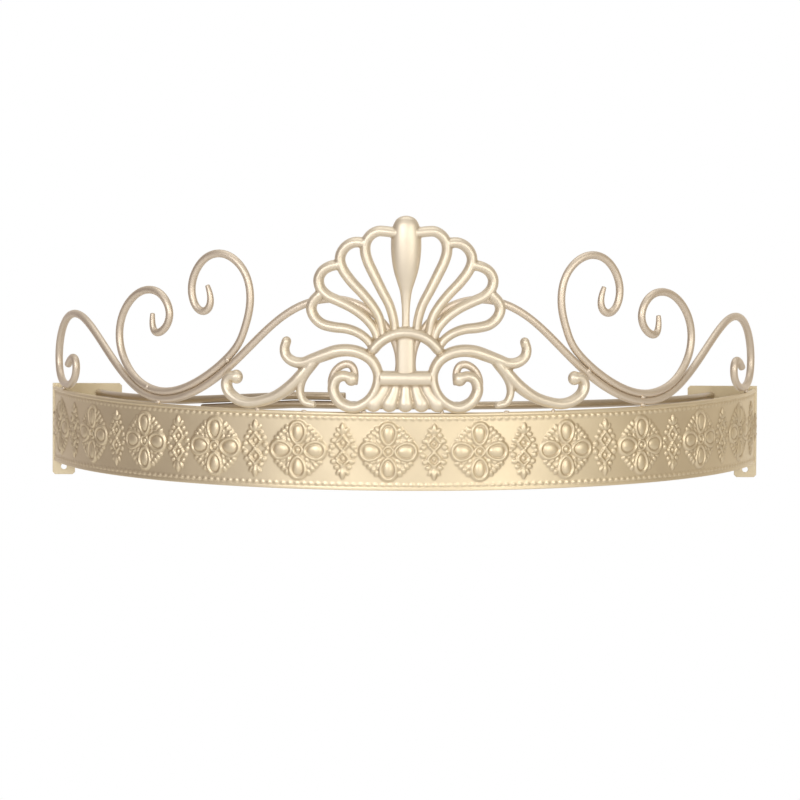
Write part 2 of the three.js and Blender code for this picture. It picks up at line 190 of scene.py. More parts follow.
def evenly(path, step):
    """The path again with about one place every step."""
    run = np.concatenate([[0], np.cumsum(np.linalg.norm(np.diff(path, axis=0), axis=1))])
    count = max(3, int(round(run[-1] / step)) + 1)
    at = np.linspace(0, run[-1], count)
    return np.stack([np.interp(at, run, path[:, axis]) for axis in range(3)], 1)


def directions(path):
    run = np.gradient(path, axis=0)
    return run / np.linalg.norm(run, axis=1, keepdims=True)


# Swept bars. The last two say how round an end is, from 0 for a square cut to 1 for half a ball.
ROD_SIDES = 20
CAP_RINGS = 5
CAP_TIP = 0.03
HAMMERED_END = 0.35
CUT_END = 0.2


def join_rings(rings):
    """Places and faces of a closed skin over rings of the same number of places."""
    count, sides = rings.shape[:2]
    places = rings.reshape(-1, 3)
    faces = []
    for i in range(count - 1):
        for j in range(sides):
            a = i * sides + j
            b = i * sides + (j + 1) % sides
            faces.append((a, b, b + sides, a + sides))
    last = (count - 1) * sides
    faces.append(tuple(range(sides - 1, -1, -1)))
    faces.append(tuple(range(last, last + sides)))
    return places, faces


def capped(path, radii, roundness=1.0):
    """Adds the centres and radii of rounded ends to a path."""
    run = directions(path)
    turns = np.linspace(0, math.pi / 2, CAP_RINGS + 1)[1:]
    first = [path[0] - run[0] * radii[0] * roundness * math.sin(t) for t in turns[::-1]]
    last = [path[-1] + run[-1] * radii[-1] * roundness * math.sin(t) for t in turns]
    shares = np.array([max(CAP_TIP, math.cos(t) ** (roundness ** 0.5)) for t in turns])
    widths = np.concatenate([radii[0] * shares[::-1], radii, radii[-1] * shares])
    return np.concatenate([first, path, last]), widths


def over_caps(run, count):
    """Directions along a path, held over the rings of its rounded ends."""
    pad = (count - len(run)) // 2
    return np.concatenate([np.repeat(run[:1], pad, 0), run, np.repeat(run[-1:], pad, 0)])


def rod_skin(path, radii, depth_axis=(0, 1, 0), roundness=HAMMERED_END):
    """A round rod along a path. depth_axis is roughly square to the path everywhere."""
    centres, widths = capped(path, radii, roundness)
    run = over_caps(directions(path), len(centres))
    across = np.cross(run, np.asarray(depth_axis, float))
    across /= np.linalg.norm(across, axis=1, keepdims=True)
    depth = np.cross(across, run)
    turn = np.linspace(0, 2 * math.pi, ROD_SIDES, endpoint=False)
    rings = (
        centres[:, None]
        + widths[:, None, None] * np.cos(turn)[None, :, None] * across[:, None]
        + widths[:, None, None] * np.sin(turn)[None, :, None] * depth[:, None]
    )
    return join_rings(rings)


# Band: grid and pattern
COLUMN_STEP = 0.62
OUTER_ROWS = 94
INNER_ROWS = 64
ROW_MARGIN = 0.2
ROLL_ROWS = 21
ROLL_RADIUS = RIM_ROLL / 2
ROLL_OPENING = math.asin(SHEET_THICKNESS / RIM_ROLL)
SHEET_TOP = BAND_HEIGHT - ROLL_RADIUS - ROLL_RADIUS * math.cos(ROLL_OPENING)
HEM_ROUND = 0.4
HEM_STEP = 0.5
HEM_BREAK_IN = 0.1
HEM_BREAK_UP = 0.12
HELD_FLAT = 0.6
MOTIF_PITCH = 75.4
MOTIF_OFFSET = -13.9

# Rosette. An oval dome is given as its two half sizes and its height.
DOME_POWER = 0.6
CUSHION_RADIUS = 23.2
CUSHION_EDGE = 4.5
CUSHION_HEIGHT = 0.7
PETAL_REACH = 14.3
PETAL_HALF_LENGTH = 8.5
PETAL_HALF_WIDTHS = (6.9, 6.2)
PETAL_FLARE = 0.02
BORDER_OUT = 0.1
BORDER_HALF_WIDTH = 2.3
BORDER_HEIGHT = 1.5
BORDER_REACH = 1.9
DOME_HALF_LENGTH = 6.5
DOME_INSET = 1.9
DOME_HEIGHT = 1.7
BOSS = (2.3, 2.3, 1.4)
BOSS_RING_RADIUS = 3.9
BOSS_RING_HALF_WIDTH = 1.4
BOSS_RING_HEIGHT = 1.5
BOSS_REACH = 4.8
# Leaves between two petals: degrees from the diagonal, distance from the middle, and the oval
SPRAY_LEAVES = (
    (-17.5, 20.6, (2.6, 1.9, 0.95)), (-6, 19.6, (2.6, 1.9, 0.95)), (6, 19.6, (2.6, 1.9, 0.95)),
    (17.5, 20.6, (2.6, 1.9, 0.95)), (-11, 14.9, (2.7, 1.7, 0.9)), (11, 14.9, (2.7, 1.7, 0.9)),
    (0, 11.2, (2.4, 1.6, 0.9)),
)

# Lozenge
CORD_WAVE = 13
CORD_SWING = 5.2
CORD_WAVE_SHARES = (0.85, 0.1)
CORD_LEAN = 0.8
CORD_HALF_WIDTH = 2.1
CORD_HEIGHT = 1.35
CORD_END = 14.6
CORD_FADE = 1.5
TWIST_SHARE = 0.28
TWIST_UP = 2.6
TWIST_ACROSS = 1.6
KNOB_UP = 6.5
KNOB = (1.5, 1.9, 1.2)
SIDE_KNOB_OUT = 11
SIDE_KNOB = (1.7, 1.5, 0.9)
# Curls beside the cords: distance out, height and half size
CURLS = ((9.0, 3.4, 2.5), (7.6, 8.7, 2.5), (5.1, 13.2, 2.2))
CURL_SQUASH = 0.85
CURL_HEIGHT = 1.25
PIT_INWARDS = 0.5
PIT_SHARE = 0.5
PIT_DEPTH = 0.35
LEAF_OUT = 3.2
LEAF_UP = 16.9
LEAF_LEAN = -36
LEAF = (3.2, 1.6, 1.3)
TIP_UP = 18.6
TIP = (2.7, 4.9, 1.7)
TIP_TAPER = 0.2

# Rows of beads
BEAD_PITCH = 6.03
BEAD_RADIUS = 2.3
BEAD_STRETCH = 1.35
BEAD_HEIGHT = 0.65
TOP_BEADS_DROP = 5
LOW_BEADS_RISE = 4.6

# Waviness of the sheet: depth, and the lengths along the band and up it
LONG_WAVES = (0.10, 23, 19)
SHORT_WAVES = (0.07, 9.7, 7)

# What counts as a hollow for the painted shade: how far around a place is looked at, and how deep it lies
HOLLOW_REACH = 1.6
HOLLOW_ROWS = 2
HOLLOW_DEPTH = 0.45


def hill(distance, half_width, height):
    """A round-topped ridge along distance zero."""
    near = np.clip(np.abs(distance) / half_width, 0, 1)
    return height * (0.5 + 0.5 * np.cos(math.pi * near))


def slope(share):
    """An even rise from 0 to 1."""
    share = np.clip(share, 0, 1)
    return share * share * (3 - 2 * share)


def oval_distance(x, y, a, b):
    """About how far a place lies outside an oval of half sizes a and b."""
    share = np.sqrt((x / a) ** 2 + (y / b) ** 2)
    steepness = np.sqrt((x / a ** 2) ** 2 + (y / b ** 2) ** 2)
    outside = (share - 1) * share / np.maximum(steepness, 1e-6)
    return np.where(steepness > 1e-6, outside, -min(a, b))


def oval_dome(x, y, a, b, height):
    share = (x / a) ** 2 + (y / b) ** 2
    return height * np.clip(1 - share, 0, 1) ** DOME_POWER


def turned(x, y, at_x, at_y, degrees):
    """Places seen from an oval that is centred elsewhere and turned."""
    c = math.cos(math.radians(degrees))
    s = math.sin(math.radians(degrees))
    return (x - at_x) * c + (y - at_y) * s, (y - at_y) * c - (x - at_x) * s


def spray_relief(x, y):
    """Small leaves in the four gaps between a rosette's petals, pointing away from its middle."""
    relief = np.zeros_like(x)
    for quarter in range(4):
        for swing, reach, leaf in SPRAY_LEAVES:
            heading = 45 + 90 * quarter + swing
            at = math.radians(heading)
            u, v = turned(x, y, reach * math.cos(at), reach * math.sin(at), heading)
            relief = np.maximum(relief, oval_dome(u, v, *leaf))
    return relief


def with_petal(relief, x, y, quarter):
    """The relief with one domed and bordered petal laid over it."""
    at = math.radians(90 * quarter)
    half_width = PETAL_HALF_WIDTHS[quarter % 2]
    u, v = turned(x, y, PETAL_REACH * math.cos(at), PETAL_REACH * math.sin(at), 90 * quarter)
    v = v / (1 + PETAL_FLARE * u)
    edge = oval_distance(u, v, PETAL_HALF_LENGTH, half_width)
    border = hill(edge - BORDER_OUT, BORDER_HALF_WIDTH, BORDER_HEIGHT)
    petal = np.maximum(border, oval_dome(u, v, DOME_HALF_LENGTH, half_width - DOME_INSET, DOME_HEIGHT))
    return np.where(edge < BORDER_REACH, petal, np.maximum(relief, petal))


def rosette_relief(x, y):
    """Four bordered oval petals round a ringed boss, on a low cushion with leaf sprays between them."""
    middle = np.hypot(x, y)
    cushion = slope((CUSHION_RADIUS - middle) / CUSHION_EDGE) * CUSHION_HEIGHT
    relief = spray_relief(x, y)
    for quarter in range(4):
        relief = with_petal(relief, x, y, quarter)
    ring = hill(middle - BOSS_RING_RADIUS, BOSS_RING_HALF_WIDTH, BOSS_RING_HEIGHT)
    boss = np.maximum(ring, oval_dome(x, y, *BOSS))
    return cushion + np.where(middle < BOSS_REACH, boss, np.maximum(relief, boss))


def cord_relief(x, y, side):
    """A twisted cord that waves its way up the lozenge."""
    main, detail = CORD_WAVE_SHARES
    wave = np.sin(math.pi * y / CORD_WAVE)
    cord = side * CORD_SWING * (main * wave - detail * np.sin(3 * math.pi * y / CORD_WAVE))
    away = (x - cord) * CORD_LEAN
    twist = 1 + TWIST_SHARE * np.sin(y * TWIST_UP + side * x * TWIST_ACROSS)
    fade = np.clip((CORD_END - np.abs(y)) / CORD_FADE, 0, 1)
    return hill(away, CORD_HALF_WIDTH, CORD_HEIGHT) * twist * fade


def corner_relief(x, y, side, up):
    """The knob, the curls and the leaf in one corner of the lozenge."""
    relief = oval_dome(x, y - up * KNOB_UP, *KNOB)
    for out, high, size in CURLS:
        curl = oval_dome(x - side * out, y - up * high, size, size * CURL_SQUASH, CURL_HEIGHT)
        from_pit = np.hypot(x - side * (out - PIT_INWARDS), y - up * high)
        relief = np.maximum(relief, curl - hill(from_pit, size * PIT_SHARE, PIT_DEPTH))
    u, v = turned(x, y, side * LEAF_OUT, up * LEAF_UP, 90 + up * side * LEAF_LEAN)
    return np.maximum(relief, oval_dome(u, v, *LEAF))


def tip_relief(x, y, up):
    """A leaf bud above or below the lozenge."""
    width = TIP[0] - TIP_TAPER * (up * y - TIP_UP)
    return oval_dome(x * TIP[0] / width, y - up * TIP_UP, *TIP)


def lozenge_relief(x, y):
    """Two crossing cords with curls beside them and a leaf bud above and below."""
    relief = np.zeros_like(x)
    for side in (-1, 1):
        relief = np.maximum(relief, cord_relief(x, y, side))
        for up in (-1, 1):
            relief = np.maximum(relief, corner_relief(x, y, side, up))
        relief = np.maximum(relief, oval_dome(x - side * SIDE_KNOB_OUT, y, *SIDE_KNOB))
    for up in (-1, 1):
        relief = np.maximum(relief, tip_relief(x, y, up))
    return relief


def bead_row(along, up, level):
    x = (along + BEAD_PITCH / 2) % BEAD_PITCH - BEAD_PITCH / 2
    spread = np.hypot(x / BEAD_STRETCH, up - level)
    return hill(spread, BEAD_RADIUS, BEAD_HEIGHT)


def waviness(along, up):
    """The slight unevenness of thin sheet."""
    depth, length, rise = LONG_WAVES
    long_waves = depth * np.sin(along / length + 1) * np.sin(up / rise)
    depth, length, rise = SHORT_WAVES
    return long_waves + depth * np.sin(along / length + up / rise)


def band_relief(along, up):
    """How far the pattern stands out of the sheet."""
    y = up - BAND_HEIGHT / 2
    x = (along - MOTIF_OFFSET + MOTIF_PITCH / 2) % MOTIF_PITCH - MOTIF_PITCH / 2
    relief = rosette_relief(x, y)
    x = (along - MOTIF_OFFSET) % MOTIF_PITCH - MOTIF_PITCH / 2
    relief = np.maximum(relief, lozenge_relief(x, y))
    relief = np.maximum(relief, bead_row(along, up, BAND_HEIGHT - TOP_BEADS_DROP))
    relief = np.maximum(relief, bead_row(along, up, LOW_BEADS_RISE))
    return relief + waviness(along, up)


def band_profile():
    """The strip's outline: depth, height, and 1 where the pattern moves it."""
    outer = SHEET_MIDDLE - SHEET_THICKNESS / 2
    inner = SHEET_MIDDLE + SHEET_THICKNESS / 2
    hem_outer = SHEET_MIDDLE - HEM_THICKNESS / 2
    hem_inner = SHEET_MIDDLE + HEM_THICKNESS / 2
    hem_heights = (HEM_ROUND, 2 * HEM_ROUND, HEM_HEIGHT - HEM_ROUND - HEM_STEP, HEM_HEIGHT - HEM_STEP)
    profile = [(hem_inner - HEM_ROUND, 0, 0), (hem_outer + HEM_ROUND, 0, 0)]
    profile.append((hem_outer + HEM_BREAK_IN, HEM_BREAK_UP, 0))
    profile += [(hem_outer, height, 0) for height in hem_heights]
    rows = np.linspace(HEM_HEIGHT, SHEET_TOP - ROW_MARGIN, OUTER_ROWS)
    profile += [(outer, height, 1) for height in rows]
    for turn in np.linspace(-math.pi / 2 - ROLL_OPENING, -5 * math.pi / 2 + ROLL_OPENING, ROLL_ROWS):
        up = BAND_HEIGHT - ROLL_RADIUS + ROLL_RADIUS * math.sin(turn)
        profile.append((SHEET_MIDDLE + ROLL_RADIUS * math.cos(turn), up, 0))
    rows = np.linspace(SHEET_TOP - ROW_MARGIN, HEM_HEIGHT, INNER_ROWS)
    profile += [(inner, height, 1) for height in rows]
    profile += [(hem_inner, height, 0) for height in (HEM_HEIGHT - HEM_STEP, HEM_ROUND)]
    return np.array(profile)


def make_band():
    """The strip as one closed skin: hem, embossed outer face, rolled rim and hollow inner face."""
    reach = arc_to_plates(RIM_ROLL)
    along = np.linspace(-reach, reach, int(2 * reach / COLUMN_STEP))
    profile = band_profile()
    s, depth = np.meshgrid(along, profile[:, 0], indexing="ij")
    _, up = np.meshgrid(along, profile[:, 1], indexing="ij")
    relief = band_relief(s, up) * profile[None, :, 2]
    # The pattern dies out close to the rim roll and the hem, where the sheet is held flat
    held = np.clip((up - HEM_HEIGHT) / HELD_FLAT, 0, 1) * np.clip((SHEET_TOP - up) / HELD_FLAT, 0, 1)
    depth = depth - relief * held
    places, faces = join_rings(bend(np.stack([s, depth, up], -1)))
    piece = mesh_piece("band_strip", places, faces, ["band"], "band_paint")
    # Painted shade: the hollows of the embossed pattern are marked for the paint to darken
    shade = painted_shade_of_grid(relief * held, along[1] - along[0], profile)
    paint_shade(piece, shade.ravel())


def painted_shade_of_grid(relief, step, profile):
    """How deep each place lies below what is around it, from 0 to 1, for both faces: the mask of the
    painted shade.
    """
    reach = max(1, int(round(HOLLOW_REACH / step)))
    around = np.zeros_like(relief)
    count = 0
    for shift_s in range(-reach, reach + 1):
        for shift_z in range(-HOLLOW_ROWS, HOLLOW_ROWS + 1):
            around += np.roll(np.roll(relief, shift_s, 0), shift_z, 1)
            count += 1
    return np.clip((around / count - relief) / HOLLOW_DEPTH, 0, 1) * (profile[None, :, 2] > 0)


# Scrolled rods. Places are shares of half the band's arc and of the scroll's own rise above its
# rest, from the inner end to the outer end, for the right-hand scroll.
OUTER_RISE = 89
OUTER_SHARES = [
    (0.1, 0.22), (0.093, 0.43), (0.142, 0.41), (0.153, 0.09), (0.075, -0.06), (0.004, 0.25),
    (0.016, 0.66), (0.077, 0.95), (0.15, 1.02), (0.218, 0.92), (0.274, 0.717), (0.329, 0.458),
    (0.387, 0.222), (0.455, 0.042), (0.527, -0.027), (0.596, 0.057), (0.663, 0.274), (0.733, 0.537),
    (0.811, 0.735), (0.901, 0.671), (0.975, 0.35), (0.961, 0.03), (0.87, -0.029), (0.822, 0.166),
    (0.848, 0.345), (0.887, 0.2),
]
LYRE_RISE = 123
LYRE_INNER_SHARES = [
    (0.41, 0.78), (0.398, 0.69), (0.408, 0.59), (0.441, 0.615), (0.455, 0.79), (0.42, 0.986),
    (0.364, 1.02), (0.317, 0.88), (0.31, 0.67), (0.325, 0.505),
]
LYRE_OUTER_SHARES = [
    (0.63, 0.2), (0.657, 0.347), (0.651, 0.545), (0.595, 0.728), (0.528, 0.744), (0.495, 0.58),
    (0.521, 0.436), (0.555, 0.429), (0.551, 0.568),
]
# The outer scroll's places that the lyre scroll lies along
LYRE_TOUCHES = range(11, 16)
SCROLL_STEP = 1.4
TAPER_LENGTH = 20
TAPER_POWER = 0.8
OUTER_TAPER = 0.95
LYRE_TAPER = 0.6
UNEVEN_SHARE = 0.01
UNEVEN_RATE = 0.19


def scroll_points(shares, rise, side):
    return np.array([
        (side * along * HALF_ARC, ROD / 2, BAND_HEIGHT + ROD_SEAT + up * rise) for along, up in shares
    ])


def outer_points(side):
    points = scroll_points(OUTER_SHARES, OUTER_RISE, side)
    points[:, 2] += BAND_HEIGHT + ROD_SEAT - spline(points)[:, 2].min()
    return points


def lyre_points(side):
    outer = outer_points(side)
    beside = []
    for i in LYRE_TOUCHES:
        run = outer[i + 1] - outer[i - 1]
        run /= np.linalg.norm(run)
        up = np.array([-run[2], 0, run[0]]) * side
        beside.append(outer[i] + up * (ROD + LYRE_GAP))
    return np.concatenate([
        scroll_points(LYRE_INNER_SHARES, LYRE_RISE, side),
        beside,
        scroll_points(LYRE_OUTER_SHARES, LYRE_RISE, side),
    ])


def make_scroll(name, points, node, taper):
    """A bent bar with hammered ends and the slight unevenness of hand bending."""
    path = evenly(spline(points), SCROLL_STEP)
    place = np.arange(len(path))
    to_end = np.minimum(place, place[::-1]) * SCROLL_STEP
    radii = ROD / 2 * (taper + (1 - taper) * np.clip(to_end / TAPER_LENGTH, 0, 1) ** TAPER_POWER)
    radii = radii * (1 + UNEVEN_SHARE * np.sin(place * UNEVEN_RATE))
    places, faces = rod_skin(path, radii)
    mesh_piece(name, bend(places), faces, [node], "rod_paint")


# Cast palmette. Places are shares of the casting's half width and of its height above the rim.
CASTING_HALF_WIDTH = 157
CASTING_HEIGHT = 161
PETAL_SHARES = [
    [(0.06, 0.913), (0.11, 0.919), (0.147, 0.919), (0.183, 0.9), (0.207, 0.865), (0.212, 0.82),
     (0.199, 0.77), (0.168, 0.705), (0.126, 0.623), (0.085, 0.545), (0.062, 0.467), (0.055, 0.4)],
    [(0.215, 0.86), (0.267, 0.862), (0.306, 0.845), (0.335, 0.81), (0.343, 0.77), (0.328, 0.725),
     (0.283, 0.664), (0.225, 0.604), (0.173, 0.542), (0.137, 0.48), (0.12, 0.4)],
    [(0.345, 0.75), (0.397, 0.738), (0.435, 0.714), (0.455, 0.675), (0.447, 0.63), (0.409, 0.591),
     (0.345, 0.562), (0.272, 0.526), (0.21, 0.48), (0.165, 0.427), (0.145, 0.38)],
    [(0.45, 0.595), (0.484, 0.559), (0.494, 0.522), (0.477, 0.48), (0.436, 0.446), (0.375, 0.431),
     (0.308, 0.424), (0.251, 0.406), (0.204, 0.375), (0.175, 0.34)],
]
PETAL_WIDTHS = (8.8, 8.8, 7.2)
LEAF_SHARES = [
    (0.628, 0.354), (0.638, 0.318), (0.63, 0.282), (0.596, 0.254), (0.542, 0.246), (0.484, 0.266),
    (0.425, 0.288), (0.357, 0.31), (0.287, 0.314), (0.223, 0.298), (0.172, 0.261), (0.142, 0.195),
    (0.155, 0.115), (0.2, 0.054), (0.273, 0.024), (0.342, 0.052), (0.376, 0.115), (0.36, 0.168),
    (0.325, 0.184), (0.292, 0.178),
]
LEAF_WIDTHS = (7.8, 9.2, 10.6, 10, 8.4, 9, 9.6, 8.4)
FOOT_SHARES = [
    (0.49, 0.258), (0.54, 0.192), (0.6, 0.13), (0.68, 0.076), (0.762, 0.046), (0.84, 0.034),
    (0.908, 0.05), (0.957, 0.09), (0.967, 0.135), (0.945, 0.163), (0.915, 0.164),
]
FOOT_WIDTHS = (7, 10.4, 10.4, 9.2, 8.9, 9.3, 9.6, 8.8)
HOOK_SHARES = [
    (0.455, 0.28), (0.512, 0.212), (0.548, 0.14), (0.55, 0.085), (0.528, 0.048), (0.484, 0.036),
]
HOOK_WIDTHS = (8, 9.6, 7.4, 6.6, 6.4, 5.6)
BUD_SHARE = (0.281, 0.17)
BUD_DIAMETER = 11.6
FOOT_BALL_SHARE = (0.912, 0.163)
FOOT_BALL_DIAMETER = 11.6
ARCH_HALF_SPAN_SHARE = 0.168
ARCH_FOOT_SHARE = 0.323
ARCH_TOP_SHARE = 0.407
ARCH_WIDTH = 9.6
ARCH_RELIEF = 0.85
ARCH_PLACES = 13
CROSSBAR_UP_SHARE = 0.174
CROSSBAR_HALF_LENGTH_SHARE = 0.13
CROSSBAR_WIDTH = 12.6
CROSSBAR_RELIEF = 0.58
CROSSBAR_FULLNESS = 0.8
STEM_WIDTH = 14.8
STEM_RELIEF = 0.36
STEM_FULLNESS = 0.5
FLUTE_SPREAD_SHARES = (-1, -0.5, 0, 0.5, 1)
FLUTE_TOP_SPREAD_SHARE = 0.095
FLUTE_FOOT_SPREAD_SHARE = 0.166
FLUTE_WIDTHS = (8.0, 10.2, 14.2)
FLUTE_LIFT = 0.2
FLUTE_RELIEF = 0.47
FLUTE_FULLNESS = 0.78
# Places down a flute, and how far it has spread by then
FLUTE_PATH = ((0, 0), (0.5, 0.36), (1, 1))
CLUB_DIAMETER = 25
CLUB_SHARES = [
    (0, 0), (0.42, 0.014), (0.7, 0.045), (0.88, 0.1), (0.98, 0.19), (0.99, 0.28), (0.93, 0.38),
    (0.8, 0.475), (0.58, 0.57), (0.38, 0.66), (0.28, 0.77), (0.25, 0.88), (0.262, 1.03),
]
CLUB_SMALLEST = 0.01
CLUB_RINGS = 12
LATHE_SIDES = 40
BALL_RINGS = 18
BALL_POLE = 0.08

# Bars: how far they stand out as a share of their half width, and their grid
RELIEF_SHARE = 0.72
BAR_STEP = 1.0
BAR_FRONT_PLACES = 15
WIDTH_BLUR = 9
SKIRT = 1.2

# Melting the bars together, and finding the hollows between them for the painted shade
VOXEL = 0.6
SMOOTHING = (0.6, -0.62)
SMOOTHING_ROUNDS = 14
CREASE_DEGREES = 48
HOLLOW_BLUR_ROUNDS = 8
HOLLOW_BEND = 0.02


def on_casting(share, side=1):
    along, up = share
    return np.array([side * along * CASTING_HALF_WIDTH, -CASTING_GAP, BAND_HEIGHT + up * CASTING_HEIGHT])


def relief_skin(points, widths, round_ends=True, relief=RELIEF_SHARE, fullness=1.0):
    """A half-round bar along points on the casting's back plane, with a skirt behind that plane.

    A fullness below 1 makes its top flatter and its sides steeper.
    """
    path = evenly(through(points), BAR_STEP)
    place = np.linspace(0, 1, len(path))
    halves = np.interp(place, np.linspace(0, 1, len(widths)), widths) / 2
    soft = np.ones(WIDTH_BLUR) / WIDTH_BLUR
    halves = np.convolve(np.pad(halves, WIDTH_BLUR // 2, mode="edge"), soft, mode="valid")
    run = directions(path)
    if round_ends:
        path, halves = capped(path, halves)
    run = over_caps(run, len(path))
    across = np.stack([-run[:, 2], np.zeros(len(run)), run[:, 0]], 1)
    turn = np.linspace(0, math.pi, BAR_FRONT_PLACES)
    out = np.concatenate([np.cos(turn), [-1, 1]])
    proud = np.concatenate([-2 * relief * np.clip(np.sin(turn), 0, 1) ** fullness, [0, 0]])
    back = np.concatenate([np.zeros(BAR_FRONT_PLACES), [SKIRT, SKIRT]])
    rings = path[:, None] + halves[:, None, None] * out[None, :, None] * across[:, None]
    rings[..., 1] += halves[:, None] * proud[None] + back[None]
    return join_rings(rings)


def lathe_skin(profile, squash, centre):
    """Turns a profile of reach and height round the upright axis, and flattens it front to back."""
    turn = np.linspace(0, 2 * math.pi, LATHE_SIDES, endpoint=False)
    reach = profile[:, 0][:, None]
    rings = np.stack([
        reach * np.cos(turn) + centre[0],
        reach * np.sin(turn) * squash + centre[1],
        np.repeat(profile[:, 1][:, None], len(turn), 1) + centre[2],
    ], -1)
    return join_rings(rings)


def ball_skin(centre, diameter):
    lean = np.linspace(-math.pi / 2 + BALL_POLE, math.pi / 2 - BALL_POLE, BALL_RINGS)
    profile = np.stack([diameter / 2 * np.cos(lean), diameter / 2 * np.sin(lean)], 1)
    return lathe_skin(profile, 1, centre)


def club_skin():
    length = CASTING_HEIGHT * (1 - ARCH_TOP_SHARE)
    shares = np.array([(max(out, CLUB_SMALLEST), down, 0) for out, down in CLUB_SHARES])
    smooth = through(shares, CLUB_RINGS)
    profile = np.stack([smooth[:, 0] * CLUB_DIAMETER / 2, -smooth[:, 1] * length], 1)
    centre = (0, -CASTING_GAP, BAND_HEIGHT + CASTING_HEIGHT)
    return lathe_skin(profile, RELIEF_SHARE, centre)


def flute_skin(spread):
    """One rib of the fluted foot."""
    top = CROSSBAR_UP_SHARE * CASTING_HEIGHT - CROSSBAR_WIDTH / 3
    low = FLUTE_LIFT + FLUTE_WIDTHS[-1] / 2
    top_x = spread * FLUTE_TOP_SPREAD_SHARE * CASTING_HALF_WIDTH
    foot_x = spread * FLUTE_FOOT_SPREAD_SHARE * CASTING_HALF_WIDTH
    points = []
    for down, out in FLUTE_PATH:
        x = top_x + (foot_x - top_x) * out
        points.append((x, -CASTING_GAP, BAND_HEIGHT + top + (low - top) * down))
    return relief_skin(points, FLUTE_WIDTHS, relief=FLUTE_RELIEF, fullness=FLUTE_FULLNESS)


def arch_skin():
    """A round arch between its two feet."""
    half_span = ARCH_HALF_SPAN_SHARE * CASTING_HALF_WIDTH
    rise = (ARCH_TOP_SHARE - ARCH_FOOT_SHARE) * CASTING_HEIGHT
    radius = (half_span ** 2 + rise ** 2) / (2 * rise)
    lean = math.asin(half_span / radius)
    top = BAND_HEIGHT + ARCH_TOP_SHARE * CASTING_HEIGHT
    points = [
        (radius * math.sin(turn), -CASTING_GAP, top - radius * (1 - math.cos(turn)))
        for turn in np.linspace(-lean, lean, ARCH_PLACES)
    ]
    return relief_skin(points, (ARCH_WIDTH, ARCH_WIDTH), relief=ARCH_RELIEF)


def straight_skin(ends, width, relief, fullness):
    """A straight bar that is cut square and ends inside its neighbours."""
    return relief_skin(ends, (width, width), round_ends=False, relief=relief, fullness=fullness)


def side_skins(side):
    """One half's petals, leaf scroll, foot, hook and balls."""
    bars = [(petal, PETAL_WIDTHS) for petal in PETAL_SHARES]
    bars += [(LEAF_SHARES, LEAF_WIDTHS), (FOOT_SHARES, FOOT_WIDTHS), (HOOK_SHARES, HOOK_WIDTHS)]
    balls = ((BUD_SHARE, BUD_DIAMETER), (FOOT_BALL_SHARE, FOOT_BALL_DIAMETER))
    skins = [relief_skin([on_casting(share, side) for share in shares], widths) for shares, widths in bars]
    return skins + [ball_skin(on_casting(share, side), diameter) for share, diameter in balls]


def casting_skins():
    stem = [on_casting((0, up)) for up in (ARCH_TOP_SHARE, CROSSBAR_UP_SHARE)]
    crossbar = [on_casting((CROSSBAR_HALF_LENGTH_SHARE, CROSSBAR_UP_SHARE), side) for side in (-1, 1)]
    return [
        club_skin(),
        *[flute_skin(spread) for spread in FLUTE_SPREAD_SHARES],
        arch_skin(),
        straight_skin(stem, STEM_WIDTH, STEM_RELIEF, STEM_FULLNESS),
        straight_skin(crossbar, CROSSBAR_WIDTH, CROSSBAR_RELIEF, CROSSBAR_FULLNESS),
        *side_skins(-1),
        *side_skins(1),
    ]


def neighbours(mesh):
    """A function that gives the mean of each place's neighbours."""
    count = len(mesh.vertices)
    ends = np.empty(len(mesh.edges) * 2, np.int64)
    mesh.edges.foreach_get("vertices", ends)
    a, b = ends.reshape(-1, 2).T
    share = 1 / np.maximum(np.bincount(np.concatenate([a, b]), minlength=count), 1)

    def mean(values):
        return (np.bincount(a, values[b], count) + np.bincount(b, values[a], count)) * share

    return mean


def even_out(mesh):
    """Takes the steps off a remeshed skin: each round smooths it and then swells it back."""
    mean = neighbours(mesh)
    places = read_places(mesh)
    for factor in SMOOTHING * SMOOTHING_ROUNDS:
        around = np.stack([mean(places[:, axis]) for axis in range(3)], 1)
        places += factor * (around - places)
    mesh.vertices.foreach_set("co", places.ravel())


def cut_away(mesh, point, normal):
    """Cuts off what lies on the side the normal points to, and closes the cut."""
    work = bmesh.new()
    work.from_mesh(mesh)
    every = work.verts[:] + work.edges[:] + work.faces[:]
    cut = bmesh.ops.bisect_plane(work, geom=every, plane_co=point, plane_no=normal, clear_outer=True)
    edges = [part for part in cut["geom_cut"] if isinstance(part, bmesh.types.BMEdge)]
    bmesh.ops.triangle_fill(work, edges=edges, normal=normal, use_beauty=True)
    work.to_mesh(mesh)
    work.free()


def make_casting():
    """All bars melted into one skin, flat at the back, and bent to the band's arc."""
    places, faces = gather(casting_skins())
    mesh = bpy.data.meshes.new("casting_bars")
    mesh.from_pydata((places * MM).tolist(), [], faces)
    rough = put("casting_bars", mesh)
    remesh = rough.modifiers.new("melt", "REMESH")
    remesh.mode = "VOXEL"
    remesh.voxel_size = VOXEL * MM
    skin = worked(rough)
    even_out(skin)
    cut_away(skin, (0, -CASTING_GAP * MM, 0), (0, 1, 0))
    cut_away(skin, (0, 0, (BAND_HEIGHT - CASTING_OVERHANG) * MM), (0, 0, -1))
    places = bend(read_places(skin) / MM)
    piece = mesh_piece("palmette", places, read_faces(skin), ["palmette_casting"], "casting_paint")
    piece.data.set_sharp_from_angle(angle=math.radians(CREASE_DEGREES))
    # Painted shade: the hollows between the cast bars are marked for the paint to darken
    paint_shade(piece, painted_shade_of_skin(piece.data))


def painted_shade_of_skin(mesh):
    """How hollow the skin is at each place, from 0 to 1, for the painted shade."""
    mean = neighbours(mesh)
    places = read_places(mesh) / MM
    lift = np.stack([mean(places[:, axis]) for axis in range(3)], 1) - places
    bent = (lift * read_places(mesh, "normal")).sum(1)
    for _ in range(HOLLOW_BLUR_ROUNDS):
        bent = mean(bent)
    return np.clip(bent / HOLLOW_BEND, 0, 1)


